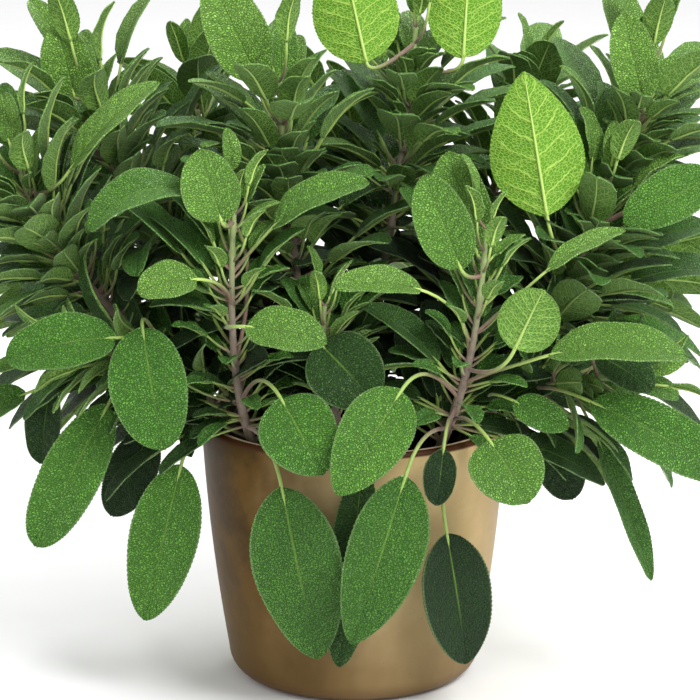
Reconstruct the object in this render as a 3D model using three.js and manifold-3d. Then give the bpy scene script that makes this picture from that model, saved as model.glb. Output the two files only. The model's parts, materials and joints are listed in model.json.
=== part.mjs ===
// A potted culinary sage: a bushy plant of sixteen shoots in a small glazed earthenware pot.
// Millimetres, +Z up. The origin is the centre of the pot's flat underside, and the front is -Y.
import * as THREE from 'three';
import { mergeVertices } from 'three/addons/utils/BufferGeometryUtils.js';
import Module from 'manifold-3d';

const wasm = await Module();
wasm.setup();

// ---- driving dimensions ----
const POT_HEIGHT = 130;
const RIM_RADIUS = 75;
const WALL = 6;
const SIDE_FOOT_RADIUS = 62;
const SIDE_FOOT_HEIGHT = 14;
const SIDE_BULGE = 1.8;
const BASE_RADIUS = 48;
const FLOOR = 8;
const INNER_ROUND = 10;
const LIP_ROUND = 2.2;
const POT_SEGMENTS = 32;
const OUTER_HEIGHTS = [30, 50, 70, 90, 110];
const INNER_HEIGHTS = [85, 55, 30];

const SOIL_LEVEL = 116;
const SOIL_EDGE = 114;
// radius of each ring of the mound, and its height above SOIL_LEVEL
const SOIL_MOUND = [[45, 1.2], [20, 2.4], [0, 3]];
const GAP = 0.3;
const ROOT_DEPTH = 10;

const STEM_ROOT_RADIUS = 2.6;
const STEM_TIP_RADIUS = 1.1;
const STEM_SIDES = 6;
const STEM_STEPS = 7;
const LEAF_STALK_STEPS = 2;
const LEAF_BLADE_STEPS = 5;
const SMALL_BLADE_STEPS = 3;

const PETIOLE_WIDTH = 2.2;
const LEAF_THICKNESS = 1.4;
const LEAF_CUP = 0.16;
const LEAF_SIDES = 4;
const NARROWEST_HALF = 0.8;
const BLADE_FULLNESS = 0.6;
const BLADE_BASE_SWELL = 1.08;
const BLADE_TIP_TAPER = 0.2;
const STALK_REACH = 0.35;

const UP = new THREE.Vector3(0, 0, 1);

// ---- the stems: root, two bend points that shape the curve, and tip ----
const STEMS = {
  left_front: [[-44, -34, 116], [-58, -46, 140], [-60, -54, 190], [-56, -54, 246]],
  right_front: [[38, -36, 116], [48, -50, 142], [58, -66, 170], [62, -62, 236]],
  front_middle: [[-4, -48, 116], [-6, -60, 140], [-16, -54, 168], [-14, -48, 196]],
  centre: [[-18, -6, 116], [-24, -6, 180], [-34, -2, 240], [-36, -4, 296]],
  left_low: [[-52, -18, 116], [-66, -22, 150], [-96, -32, 168], [-136, -40, 172]],
  left: [[-54, 6, 116], [-86, 2, 160], [-150, -10, 200], [-162, -14, 262]],
  left_back: [[-36, 28, 116], [-70, 30, 190], [-120, 24, 230], [-132, 22, 292]],
  right_low: [[54, -14, 116], [66, -24, 148], [92, -34, 156], [134, -38, 160]],
  right: [[54, 10, 116], [84, 4, 160], [112, -4, 190], [122, -8, 250]],
  right_back: [[36, 30, 116], [80, 26, 180], [136, 20, 230], [142, 14, 300]],
  top: [[6, 20, 116], [10, 24, 190], [26, 26, 250], [30, 26, 318]],
  back_left: [[-28, 48, 116], [-40, 70, 180], [-74, 96, 230], [-84, 104, 282]],
  back: [[2, 56, 116], [2, 84, 180], [6, 118, 220], [6, 132, 262]],
  back_right: [[30, 50, 116], [44, 70, 180], [80, 94, 230], [90, 102, 284]],
  low_back_left: [[-46, 34, 116], [-58, 44, 160], [-116, 82, 176], [-142, 94, 190]],
  low_back_right: [[46, 34, 116], [58, 44, 160], [116, 82, 176], [140, 96, 190]],
};

// ---- the large leaves, each a node of its own ----
// name: stem, place along it, blade base, tip, the way the upper side faces, width, bow
const LEAVES = {
  leaf_pot_left: ['left_front', 0.22, [-34, -85, 117], [-17, -80, 31], [-0.1, -1, 0.1], 43, 3],
  leaf_pot_right: ['right_front', 0.24, [24, -91, 124], [-1, -91, 42], [0.1, -1, 0.1], 37, 3],
  leaf_pot_middle: ['front_middle', 0.3, [4, -80, 124], [-7, -77, 26], [0, -1, 0], 24, 1],
  leaf_pot_shade: ['right_front', 0.38, [44, -77, 92], [54, -69, 25], [0.3, -1, 0.1], 35, 2],
  leaf_rim_left: ['left_front', 0.34, [-34, -82, 159], [-14, -97, 127], [-0.1, -1, 0.55], 37, 3],
  leaf_rim_right: ['right_front', 0.42, [22, -82, 163], [-8, -108, 120], [0.15, -1, 0.5], 34, 3],
  leaf_rim_round: ['right_front', 0.3, [64, -80, 138], [81, -100, 114], [0.1, -1, 0.5], 36, 3],
  leaf_rim_dark: ['right_front', 0.32, [42, -80, 134], [39, -84, 108], [0, -1, 0.1], 16, 1],
  leaf_middle_broad: ['front_middle', 0.8, [-16, -62, 181], [10, -74, 156], [0, -1, 0.4], 37, 3],
  leaf_left_hanging: ['left_front', 0.26, [-83, -46, 117], [-101, -48, 40], [-0.1, -1, 0.1], 34, 3],
  leaf_left_broad: ['left_low', 0.5, [-100, -56, 187], [-90, -68, 131], [-0.1, -1, 0.25], 38, 3],
  leaf_left_reaching: ['left_low', 0.6, [-113, -58, 183], [-164, -64, 174], [0, -0.8, 0.7], 30, 5],
  leaf_left_drooping: ['left_low', 0.66, [-118, -44, 146], [-153, -50, 78], [-0.1, -1, 0.2], 30, 4],
  leaf_left_shaded: ['left_low', 0.34, [-99, -22, 128], [-118, -22, 85], [0, -1, 0.1], 25, 2],
  leaf_left_low: ['left_low', 0.9, [-147, -24, 150], [-152, -24, 112], [-0.3, -1, 0.1], 19, 2],
  leaf_left_far: ['left_low', 1, [-158, -36, 150], [-190, -36, 134], [0, -0.6, 0.8], 20, 2],
  leaf_right_long: ['right_low', 0.55, [113, -56, 151], [182, -68, 116], [0.1, -0.9, 0.6], 30, 4],
  leaf_right_level: ['right_front', 0.5, [92, -72, 178], [155, -82, 179], [0, -0.4, 1], 32, 6],
  leaf_right_oval: ['right_low', 0.3, [76, -62, 153], [101, -70, 142], [0, -0.9, 0.6], 17, 1],
  leaf_right_narrow: ['right_low', 0.72, [118, -33, 126], [145, -34, 56], [0.8, -0.7, 0.1], 17, 2],
  leaf_right_hanging: ['right_low', 0.36, [92, -26, 129], [107, -26, 95], [0, -1, 0.1], 24, 2],
  leaf_right_shaded: ['right_low', 0.86, [116, -46, 172], [142, -56, 157], [0, -0.8, 0.7], 22, 2],
  leaf_upright_front: ['right_front', 0.88, [50, -66, 218], [33, -64, 262], [-0.1, -1, 0.1], 27, 2],
  leaf_upright_behind: ['right_front', 0.92, [58, -50, 222], [44, -48, 270], [0, -1, 0.1], 28, 2],
  leaf_reaching_left: ['right_front', 0.46, [31, -75, 210], [-9, -84, 213], [0, -0.52, 0.9], 19, 4],
  leaf_turned: ['right_front', 0.56, [75, -81, 183], [88, -77, 210], [0.2, 1, 0.3], 30, 2],
  leaf_reaching_right: ['right_front', 0.7, [90, -70, 218], [126, -74, 238], [-0.3, -0.4, 1], 15, 3],
  leaf_pale_left: ['left_front', 0.7, [-74, -66, 213], [-101, -72, 208], [0, -0.7, 0.8], 22, 3],
  leaf_arching_left: ['left_front', 0.5, [-77, -55, 253], [-124, -64, 236], [-0.1, -0.5, 1], 27, 11],
  leaf_upright_left: ['left_front', 0.95, [-62, -62, 240], [-72, -64, 274], [0, -1, 0.2], 28, 2],
  leaf_long_middle: ['left_front', 0.8, [-38, -56, 236], [7, -62, 258], [0, -0.5, 1], 23, 6],
  leaf_bright_middle: ['left_front', 0.62, [-50, -78, 193], [-13, -85, 187], [0, -0.65, 0.8], 26, 3],
  leaf_lit_right: ['right', 0.72, [92, -30, 236], [80, -34, 306], [0, 1, 0.1], 44, 3],
  leaf_lit_top: ['top', 0.9, [53, 16, 305], [56, 20, 356], [0, 1, -0.1], 37, 3],
  leaf_lit_middle: ['top', 0.96, [6, 14, 303], [-6, 18, 356], [0, 1, -0.1], 42, 3],
  leaf_crown_left: ['centre', 0.94, [-46, -8, 298], [-68, -10, 347], [0, -1, 0.2], 30, 3],
  leaf_high_left: ['left_back', 0.96, [-136, 18, 286], [-143, 16, 321], [0, -1, 0.1], 25, 2],
  leaf_edge_left: ['left', 0.9, [-135, -26, 258], [-92, -30, 300], [-0.5, -0.4, 0.7], 24, 4],
  leaf_high_right: ['right_back', 0.9, [139, 2, 286], [129, 0, 329], [-0.1, -1, 0.1], 23, 2],
  leaf_far_right: ['right', 0.86, [172, -24, 254], [129, -30, 232], [0, -0.9, 0.5], 27, 3],
};

// ---- the small leaves that grow with each stem, in crossed pairs ----
// stem: number of pairs, first and last place along it, first and last leaf length
const PAIRS = {
  left_front: [3, 0.86, 1.0, 26, 16],
  right_front: [3, 0.82, 1.0, 26, 16],
  front_middle: [3, 0.55, 1.0, 30, 18],
  centre: [5, 0.5, 1.0, 48, 22],
  left_low: [3, 0.7, 1.0, 34, 22],
  left: [5, 0.5, 1.0, 50, 24],
  left_back: [5, 0.45, 1.0, 54, 24],
  right_low: [3, 0.7, 1.0, 34, 22],
  right: [5, 0.5, 1.0, 46, 22],
  right_back: [5, 0.45, 1.0, 54, 24],
  top: [5, 0.5, 1.0, 50, 24],
  back_left: [5, 0.38, 1.0, 58, 24],
  back: [5, 0.38, 1.0, 58, 24],
  back_right: [5, 0.38, 1.0, 58, 24],
  low_back_left: [5, 0.4, 1.0, 54, 26],
  low_back_right: [5, 0.4, 1.0, 54, 26],
};
const PAIR_SPREAD_LOW = 78;
const PAIR_SPREAD_TIP = 24;
const PAIR_DROOP = 0.28;
const PAIR_STALK = 0.3;
const PAIR_WIDTH = 0.42;
const PAIR_BOW = 0.08;
const PAIR_FIRST_TURN = 0.4;

// ---- materials ----
const glaze = new THREE.MeshStandardMaterial({ color: 0x7d6238, roughness: 0.35, metalness: 0 });
const soilBlack = new THREE.MeshStandardMaterial({ color: 0x1d1713, roughness: 0.95, metalness: 0 });
const stemBark = new THREE.MeshStandardMaterial({ color: 0x7c6d5c, roughness: 0.8, metalness: 0 });
const leafGreen = new THREE.MeshStandardMaterial({ color: 0x4d8a3c, roughness: 0.75, metalness: 0 });

const point = (values) => new THREE.Vector3(...values);

// A lathe turns about Y, so the profile is laid over to stand on Z.
function turned(profile, segments) {
  const outline = profile.map(([radius, height]) => new THREE.Vector2(radius, height));
  return new THREE.LatheGeometry(outline, segments).rotateX(Math.PI / 2);
}

function clean(geometry) {
  const bare = geometry.clone();
  bare.deleteAttribute('normal');
  bare.deleteAttribute('uv');
  return mergeVertices(bare, 1e-4);
}

function toSolid(geometry) {
  const merged = clean(geometry);
  return new wasm.Manifold(new wasm.Mesh({
    numProp: 3,
    vertProperties: new Float32Array(merged.attributes.position.array),
    triVerts: new Uint32Array(merged.index.array),
  }));
}

function toGeometry(solid) {
  const mesh = solid.getMesh();
  const geometry = new THREE.BufferGeometry();
  geometry.setAttribute('position', new THREE.BufferAttribute(new Float32Array(mesh.vertProperties), 3));
  geometry.setIndex(new THREE.BufferAttribute(new Uint32Array(mesh.triVerts), 1));
  geometry.computeVertexNormals();
  return geometry;
}

// ---- pot ----
function sideRadius(height) {
  const rise = (height - SIDE_FOOT_HEIGHT) / (POT_HEIGHT - SIDE_FOOT_HEIGHT);
  const taper = SIDE_FOOT_RADIUS + (RIM_RADIUS - SIDE_FOOT_RADIUS) * rise;
  return taper + SIDE_BULGE * 4 * rise * (1 - rise);
}

function arc(centre, radii, from, to, steps) {
  const points = [];
  for (let i = 0; i <= steps; i += 1) {
    const angle = THREE.MathUtils.degToRad(from + (to - from) * i / steps);
    points.push([centre[0] + radii[0] * Math.cos(angle), centre[1] + radii[1] * Math.sin(angle)]);
  }
  return points;
}

function potProfile() {
  const corner = [SIDE_FOOT_RADIUS - BASE_RADIUS, SIDE_FOOT_HEIGHT];
  const lipHeight = POT_HEIGHT - LIP_ROUND;
  const lipInner = RIM_RADIUS - WALL + LIP_ROUND;
  const outer = OUTER_HEIGHTS.map((height) => [sideRadius(height), height]);
  return [
    [0, 0],
    ...arc([BASE_RADIUS, corner[1]], corner, -90, 0, 4),
    ...outer,
    ...arc([RIM_RADIUS - LIP_ROUND, lipHeight], [LIP_ROUND, LIP_ROUND], 0, 90, 3),
    ...arc([lipInner, lipHeight], [LIP_ROUND, LIP_ROUND], 90, 180, 3),
    [sideRadius(SOIL_EDGE) - WALL, SOIL_EDGE],
    ...innerWall(0),
  ];
}

// The inside of the pot below the soil's edge, down to the axis; inset draws in the soil's skin.
function innerWall(inset) {
  const wall = INNER_HEIGHTS.map((height) => [sideRadius(height) - WALL - inset, height]);
  const corner = [SIDE_FOOT_RADIUS - WALL - INNER_ROUND, FLOOR + INNER_ROUND];
  const round = INNER_ROUND - inset;
  return [...wall, ...arc(corner, [round, round], 0, -90, 3), [0, FLOOR + inset]];
}

// ---- lofted shoots and leaves ----
// A closed cylinder with the given sides, its rings moved to where place puts them.
function lofted(sides, steps, place) {
  const geometry = new THREE.CylinderGeometry(1, 1, 1, sides, steps);
  const position = geometry.attributes.position;
  const vertex = new THREE.Vector3();
  for (let i = 0; i < position.count; i += 1) {
    vertex.fromBufferAttribute(position, i);
    const moved = place(vertex.y + 0.5, vertex.x, vertex.z);
    position.setXYZ(i, moved.x, moved.y, moved.z);
  }
  return clean(geometry);
}

function stemCurve(name) {
  return new THREE.CubicBezierCurve3(...STEMS[name].map(point));
}

function stemRadius(place) {
  return STEM_ROOT_RADIUS + (STEM_TIP_RADIUS - STEM_ROOT_RADIUS) * place;
}

// The stem runs on straight down into the soil for its root depth.
function stemGeometry(name, extra = 0) {
  const curve = stemCurve(name);
  const start = curve.getTangent(0);
  const rootShare = 1 / (STEM_STEPS + 1);
  return lofted(STEM_SIDES, STEM_STEPS + 1, (along, across, out) => {
    const place = Math.max(0, (along - rootShare) / (1 - rootShare));
    const centre = curve.getPoint(place);
    const tangent = curve.getTangent(place);
    if (along < rootShare / 2) {
      centre.addScaledVector(start, -ROOT_DEPTH);
    }
    const side = new THREE.Vector3(0, 1, 0).cross(tangent).normalize();
    const front = tangent.clone().cross(side);
    const radius = stemRadius(place) + extra;
    return centre.addScaledVector(side, across * radius).addScaledVector(front, -out * radius);
  });
}

function bladeWidth(share) {
  return Math.pow(4 * share * (1 - share), BLADE_FULLNESS) * (BLADE_BASE_SWELL - BLADE_TIP_TAPER * share);
}

// petiole: from the stem to the blade's base; blade: from the base to the tip, bowed to its face
function leafCurves(start, base, tip, face, bow) {
  const run = tip.clone().sub(base);
  const normal = face.clone().addScaledVector(run, -face.dot(run) / run.lengthSq()).normalize();
  const middle = base.clone().add(tip).multiplyScalar(0.5).addScaledVector(normal, 2 * bow);
  const outward = middle.clone().sub(base).normalize();
  const stalk = base.clone().sub(start);
  const reach = stalk.length() * STALK_REACH * (1 + Math.max(0, stalk.normalize().dot(outward)));
  const lead = base.clone().addScaledVector(outward, -reach);
  return [
    new THREE.QuadraticBezierCurve3(start, lead, base),
    new THREE.QuadraticBezierCurve3(base, middle, tip),
  ];
}

function leafGeometry([start, base, tip, face, width, bow], stalkSteps, bladeSteps, extra = 0) {
  const [petiole, blade] = leafCurves(start, base, tip, face, bow);
  const stalkShare = stalkSteps / (stalkSteps + bladeSteps);
  return lofted(LEAF_SIDES, stalkSteps + bladeSteps, (along, across, out) => {
    const onStalk = along <= stalkShare + 1e-6;
    const share = onStalk ? along / stalkShare : (along - stalkShare) / (1 - stalkShare);
    const curve = onStalk ? petiole : blade;
    const centre = curve.getPoint(share);
    const tangent = curve.getTangent(share);
    const side = tangent.clone().cross(face).normalize();
    const normal = side.clone().cross(tangent);
    const half = onStalk ? PETIOLE_WIDTH / 2 : Math.max(NARROWEST_HALF, width / 2 * bladeWidth(share));
    const thick = (onStalk ? PETIOLE_WIDTH : LEAF_THICKNESS) / 2 + extra;
    const cup = onStalk ? 0 : LEAF_CUP * half * Math.abs(across);
    return centre
      .addScaledVector(side, across * half)
      .addScaledVector(normal, out * thick + cup);
  });
}

// ---- assembly ----
const sage = new THREE.Group();
const solids = [];

function addPart(name, geometry, material) {
  const mesh = new THREE.Mesh(geometry, material);
  mesh.name = name;
  sage.add(mesh);
  return mesh;
}

const potSolid = turned(potProfile(), POT_SEGMENTS);
addPart('pot', potSolid, glaze);
solids.push(toSolid(potSolid));

function soilGeometry() {
  const profile = [
    ...innerWall(GAP).reverse(),
    [sideRadius(SOIL_EDGE) - WALL - GAP, SOIL_EDGE],
    ...SOIL_MOUND.map(([radius, rise]) => [radius, SOIL_LEVEL + rise]),
  ];
  let soil = toSolid(turned(profile, POT_SEGMENTS));
  for (const name of Object.keys(STEMS)) {
    soil = soil.subtract(toSolid(stemGeometry(name, GAP)));
  }
  return toGeometry(soil);
}

const soilPart = soilGeometry();
addPart('soil', soilPart, soilBlack);
solids.push(toSolid(soilPart));

const crosses = (solid, others) => others.some((other) => solid.intersect(other).volume() > 1e-3);

const stemSolids = {};
for (const name of Object.keys(STEMS)) {
  stemSolids[name] = toSolid(stemGeometry(name));
}

// A large leaf's stalk starts beside its stem, on the side that it leads to.
function stalkStart(stem, place, [base, tip, face, bow]) {
  const curve = stemCurve(stem);
  const root = curve.getPoint(place);
  const tangent = curve.getTangent(place);
  const lead = leafCurves(root, base, tip, face, bow)[0].v1;
  const aside = lead.sub(root).projectOnPlane(tangent).normalize();
  return root.addScaledVector(aside, stemRadius(place) + PETIOLE_WIDTH / 2 + GAP);
}

const leafSolids = [];
for (const [name, [stem, place, base, tip, face, width, bow]] of Object.entries(LEAVES)) {
  const shape = [point(base), point(tip), point(face), width, bow];
  const start = stalkStart(stem, place, [shape[0], shape[1], shape[2], bow]);
  const geometry = leafGeometry([start, ...shape], LEAF_STALK_STEPS, LEAF_BLADE_STEPS);
  addPart(name, geometry, leafGreen);
  leafSolids.push(toSolid(geometry));
}

// Each small leaf joins its stem where it stands clear of every other piece.
function grownLeaves(name) {
  const [pairs, first, last, longest, shortest] = PAIRS[name];
  const curve = stemCurve(name);
  const leaves = [];
  for (let pair = 0; pair < pairs; pair += 1) {
    const share = pair / (pairs - 1);
    const place = first + (last - first) * share;
    const root = curve.getPoint(place);
    const tangent = curve.getTangent(place);
    const length = longest + (shortest - longest) * share;
    const spread = THREE.MathUtils.degToRad(THREE.MathUtils.lerp(PAIR_SPREAD_LOW, PAIR_SPREAD_TIP, share));
    const droop = PAIR_DROOP * length * (1 - share);
    const side = UP.clone().cross(tangent).normalize();
    for (let half = 0; half < 2; half += 1) {
      const turn = Math.PI / 2 * pair + Math.PI * half + PAIR_FIRST_TURN;
      const out = side.clone().applyAxisAngle(tangent, turn);
      const way = tangent.clone().multiplyScalar(Math.cos(spread)).addScaledVector(out, Math.sin(spread));
      const face = tangent.clone().multiplyScalar(Math.sin(spread)).addScaledVector(out, -Math.cos(spread));
      const base = root.clone().addScaledVector(way, length * PAIR_STALK);
      const tip = base.clone().addScaledVector(way, length).addScaledVector(UP, -droop);
      leaves.push([root, base, tip, face, length * PAIR_WIDTH, length * PAIR_BOW]);
    }
  }
  return leaves;
}

for (const name of Object.keys(STEMS)) {
  let shoot = stemSolids[name];
  const others = Object.keys(STEMS).filter((other) => other !== name).map((other) => stemSolids[other]);
  for (const leaf of grownLeaves(name)) {
    const room = toSolid(leafGeometry(leaf, 1, SMALL_BLADE_STEPS, GAP));
    if (!crosses(room, [...solids, ...others, ...leafSolids])) {
      shoot = shoot.add(toSolid(leafGeometry(leaf, 1, SMALL_BLADE_STEPS)));
    }
  }
  stemSolids[name] = shoot;
  addPart(`shoot_${name}`, toGeometry(shoot), stemBark);
}

export default sage;
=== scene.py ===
"""A potted culinary sage: glazed earthenware pot, potting mix, sixteen shoots and their leaves."""
import json
import math
import random

import bpy
from mathutils import Matrix, Vector
from mathutils.bvhtree import BVHTree

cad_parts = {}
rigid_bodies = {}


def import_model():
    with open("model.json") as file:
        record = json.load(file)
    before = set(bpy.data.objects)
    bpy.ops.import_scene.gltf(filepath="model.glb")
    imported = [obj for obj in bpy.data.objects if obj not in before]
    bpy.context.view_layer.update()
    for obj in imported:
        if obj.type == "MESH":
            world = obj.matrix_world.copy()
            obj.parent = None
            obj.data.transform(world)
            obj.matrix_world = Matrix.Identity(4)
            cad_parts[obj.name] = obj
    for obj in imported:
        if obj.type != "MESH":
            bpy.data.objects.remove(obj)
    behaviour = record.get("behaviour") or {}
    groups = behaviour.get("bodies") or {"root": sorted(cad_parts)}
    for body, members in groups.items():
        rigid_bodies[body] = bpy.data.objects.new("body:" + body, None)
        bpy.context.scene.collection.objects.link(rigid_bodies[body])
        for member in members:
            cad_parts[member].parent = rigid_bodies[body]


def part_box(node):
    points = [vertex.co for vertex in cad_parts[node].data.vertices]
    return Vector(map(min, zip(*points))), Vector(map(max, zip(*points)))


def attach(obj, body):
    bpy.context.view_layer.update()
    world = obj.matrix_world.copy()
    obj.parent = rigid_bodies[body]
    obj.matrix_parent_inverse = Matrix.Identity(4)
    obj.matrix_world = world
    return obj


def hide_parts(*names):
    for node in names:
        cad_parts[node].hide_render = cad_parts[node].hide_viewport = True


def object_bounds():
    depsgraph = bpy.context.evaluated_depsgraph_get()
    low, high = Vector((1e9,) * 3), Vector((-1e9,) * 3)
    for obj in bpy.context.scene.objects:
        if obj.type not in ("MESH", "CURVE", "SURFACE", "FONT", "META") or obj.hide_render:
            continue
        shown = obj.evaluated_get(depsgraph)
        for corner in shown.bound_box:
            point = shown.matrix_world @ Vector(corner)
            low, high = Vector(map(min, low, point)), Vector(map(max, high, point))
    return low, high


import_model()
cad_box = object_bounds()

MM = 0.001
UP = Vector((0, 0, 1))

# ---- the pot and its soil, in millimetres ----
POT_LOW, POT_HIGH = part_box("pot")
POT_HEIGHT = (POT_HIGH[2] - POT_LOW[2]) / MM
RIM_RADIUS = (POT_HIGH[0] - POT_LOW[0]) / MM / 2
WALL = 6
FOOT_RADIUS = RIM_RADIUS - 13
FOOT_HEIGHT = 14
SIDE_BULGE = 1.8
BASE_RADIUS = RIM_RADIUS - 27
LIP_ROUND = 2.2
INNER_CORNER = 10
FLOOR_THICKNESS = 8
SOIL_LEVEL = 116
SOIL_DOME = 4.5
CRUMBS = 420

# ---- the stems: root, two bend points that shape the curve, and tip ----
STEMS = {
    "left_front": [(-44, -34, 116), (-58, -46, 140), (-60, -54, 190), (-56, -54, 246)],
    "right_front": [(38, -36, 116), (48, -50, 142), (58, -66, 170), (62, -62, 236)],
    "front_middle": [(-4, -48, 116), (-6, -60, 140), (-16, -54, 168), (-14, -48, 196)],
    "centre": [(-18, -6, 116), (-24, -6, 180), (-34, -2, 240), (-36, -4, 296)],
    "left_low": [(-52, -18, 116), (-66, -22, 150), (-96, -32, 168), (-136, -40, 172)],
    "left": [(-54, 6, 116), (-86, 2, 160), (-150, -10, 200), (-162, -14, 262)],
    "left_back": [(-36, 28, 116), (-70, 30, 190), (-120, 24, 230), (-132, 22, 292)],
    "right_low": [(54, -14, 116), (66, -24, 148), (92, -34, 156), (134, -38, 160)],
    "right": [(54, 10, 116), (84, 4, 160), (112, -4, 190), (122, -8, 250)],
    "right_back": [(36, 30, 116), (80, 26, 180), (136, 20, 230), (142, 14, 300)],
    "top": [(6, 20, 116), (10, 24, 190), (26, 26, 250), (30, 26, 318)],
    "back_left": [(-28, 48, 116), (-40, 70, 180), (-74, 96, 230), (-84, 104, 282)],
    "back": [(2, 56, 116), (2, 84, 180), (6, 118, 220), (6, 132, 262)],
    "back_right": [(30, 50, 116), (44, 70, 180), (80, 94, 230), (90, 102, 284)],
    "low_back_left": [(-46, 34, 116), (-58, 44, 160), (-116, 82, 176), (-142, 94, 190)],
    "low_back_right": [(46, 34, 116), (58, 44, 160), (116, 82, 176), (140, 96, 190)],
}
STEM_ROOT_RADIUS = 2.6
STEM_TIP_RADIUS = 1.1
ROOT_DEPTH = 8

# ---- the large leaves ----
# name: stem, place along it, blade base, tip, the way the upper side faces, width, bow
LEAVES = {
    "pot_left": ["left_front", 0.22, (-34, -85, 117), (-17, -80, 31), (-0.1, -1, 0.1), 43, 3],
    "pot_right": ["right_front", 0.24, (24, -91, 124), (-1, -91, 42), (0.1, -1, 0.1), 37, 3],
    "pot_middle": ["front_middle", 0.3, (4, -80, 124), (-7, -77, 26), (0, -1, 0), 24, 1],
    "pot_shade": ["right_front", 0.38, (44, -77, 92), (54, -69, 25), (0.3, -1, 0.1), 35, 2],
    "rim_left": ["left_front", 0.34, (-34, -82, 159), (-14, -97, 127), (-0.1, -1, 0.55), 37, 3],
    "rim_right": ["right_front", 0.42, (22, -82, 163), (-8, -108, 120), (0.15, -1, 0.5), 34, 3],
    "rim_round": ["right_front", 0.3, (64, -80, 138), (81, -100, 114), (0.1, -1, 0.5), 36, 3],
    "rim_dark": ["right_front", 0.32, (42, -80, 134), (39, -84, 108), (0, -1, 0.1), 16, 1],
    "middle_broad": ["front_middle", 0.8, (-16, -62, 181), (10, -74, 156), (0, -1, 0.4), 37, 3],
    "left_hanging": ["left_front", 0.26, (-83, -46, 117), (-101, -48, 40), (-0.1, -1, 0.1), 34, 3],
    "left_broad": ["left_low", 0.5, (-100, -56, 187), (-90, -68, 131), (-0.1, -1, 0.25), 38, 3],
    "left_reaching": ["left_low", 0.6, (-113, -58, 183), (-164, -64, 174), (0, -0.8, 0.7), 30, 5],
    "left_drooping": ["left_low", 0.66, (-118, -44, 146), (-153, -50, 78), (-0.1, -1, 0.2), 30, 4],
    "left_shaded": ["left_low", 0.34, (-99, -22, 128), (-118, -22, 85), (0, -1, 0.1), 25, 2],
    "left_low": ["left_low", 0.9, (-147, -24, 150), (-152, -24, 112), (-0.3, -1, 0.1), 19, 2],
    "left_far": ["left_low", 1, (-158, -36, 150), (-190, -36, 134), (0, -0.6, 0.8), 20, 2],
    "right_long": ["right_low", 0.55, (113, -56, 151), (182, -68, 116), (0.1, -0.9, 0.6), 30, 4],
    "right_level": ["right_front", 0.5, (92, -72, 178), (155, -82, 179), (0, -0.4, 1), 32, 6],
    "right_oval": ["right_low", 0.3, (76, -62, 153), (101, -70, 142), (0, -0.9, 0.6), 17, 1],
    "right_narrow": ["right_low", 0.72, (118, -33, 126), (145, -34, 56), (0.8, -0.7, 0.1), 17, 2],
    "right_hanging": ["right_low", 0.36, (92, -26, 129), (107, -26, 95), (0, -1, 0.1), 24, 2],
    "right_shaded": ["right_low", 0.86, (116, -46, 172), (142, -56, 157), (0, -0.8, 0.7), 22, 2],
    "upright_front": ["right_front", 0.88, (50, -66, 218), (33, -64, 262), (-0.1, -1, 0.1), 27, 2],
    "upright_behind": ["right_front", 0.92, (58, -50, 222), (44, -48, 270), (0, -1, 0.1), 28, 2],
    "reaching_left": ["right_front", 0.46, (31, -75, 210), (-9, -84, 213), (0, -0.52, 0.9), 19, 4],
    "turned": ["right_front", 0.56, (75, -81, 183), (88, -77, 210), (0.2, 1, 0.3), 30, 2],
    "reaching_right": ["right_front", 0.7, (90, -70, 218), (126, -74, 238), (-0.3, -0.4, 1), 15, 3],
    "pale_left": ["left_front", 0.7, (-74, -66, 213), (-101, -72, 208), (0, -0.7, 0.8), 22, 3],
    "arching_left": ["left_front", 0.5, (-77, -55, 253), (-124, -64, 236), (-0.1, -0.5, 1), 27, 11],
    "upright_left": ["left_front", 0.95, (-62, -62, 240), (-72, -64, 274), (0, -1, 0.2), 28, 2],
    "long_middle": ["left_front", 0.8, (-38, -56, 236), (7, -62, 258), (0, -0.5, 1), 23, 6],
    "bright_middle": ["left_front", 0.62, (-50, -78, 193), (-13, -85, 187), (0, -0.65, 0.8), 26, 3],
    "lit_right": ["right", 0.72, (92, -30, 236), (80, -34, 306), (0, 1, 0.1), 44, 3],
    "lit_top": ["top", 0.9, (53, 16, 305), (56, 20, 356), (0, 1, -0.1), 37, 3],
    "lit_middle": ["top", 0.96, (6, 14, 303), (-6, 18, 356), (0, 1, -0.1), 42, 3],
    "crown_left": ["centre", 0.94, (-46, -8, 298), (-68, -10, 347), (0, -1, 0.2), 30, 3],
    "high_left": ["left_back", 0.96, (-136, 18, 286), (-143, 16, 321), (0, -1, 0.1), 25, 2],
    "edge_left": ["left", 0.9, (-135, -26, 258), (-92, -30, 300), (-0.5, -0.4, 0.7), 24, 4],
    "high_right": ["right_back", 0.9, (139, 2, 286), (129, 0, 329), (-0.1, -1, 0.1), 23, 2],
    "far_right": ["right", 0.86, (172, -24, 254), (129, -30, 232), (0, -0.9, 0.5), 27, 3],
}
# their undersides face forwards, with a light behind them, and are painted brighter and yellower as light
# shining through
BACK_LIT = ("lit_right", "lit_top", "lit_middle")
# how far a leaf's tip is drawn to a point; the rest are plain ovals
POINTED = {
    "lit_right": 0.3, "lit_middle": 0.12, "pot_left": 0.16, "pot_right": 0.16, "rim_right": 0.14,
    "pot_shade": 0.1, "left_hanging": 0.08, "rim_left": 0.1, "left_drooping": -0.05,
}
# 0 is an old dark leaf and 1 a young light one; the tones also paint light and shade: low on leaves that sit
# in shade, such as pot_shade, and high on lit ones
LEAF_TONES = {
    "pot_left": 0.3, "pot_right": 0.32, "pot_middle": 0.2, "pot_shade": -0.2, "rim_dark": 0.0,
    "rim_round": 0.72, "rim_left": 0.62, "rim_right": 0.66, "middle_broad": 0.15, "left_shaded": 0.05,
    "left_low": 0.1, "left_broad": 0.56, "right_hanging": 0.05, "right_shaded": 0.15,
    "right_narrow": 0.35, "right_level": 0.85, "pale_left": 0.95, "bright_middle": 0.8,
    "reaching_left": 0.9, "reaching_right": 0.85, "lit_right": 0.9, "lit_top": 0.7, "lit_middle": 0.7,
}

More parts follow.
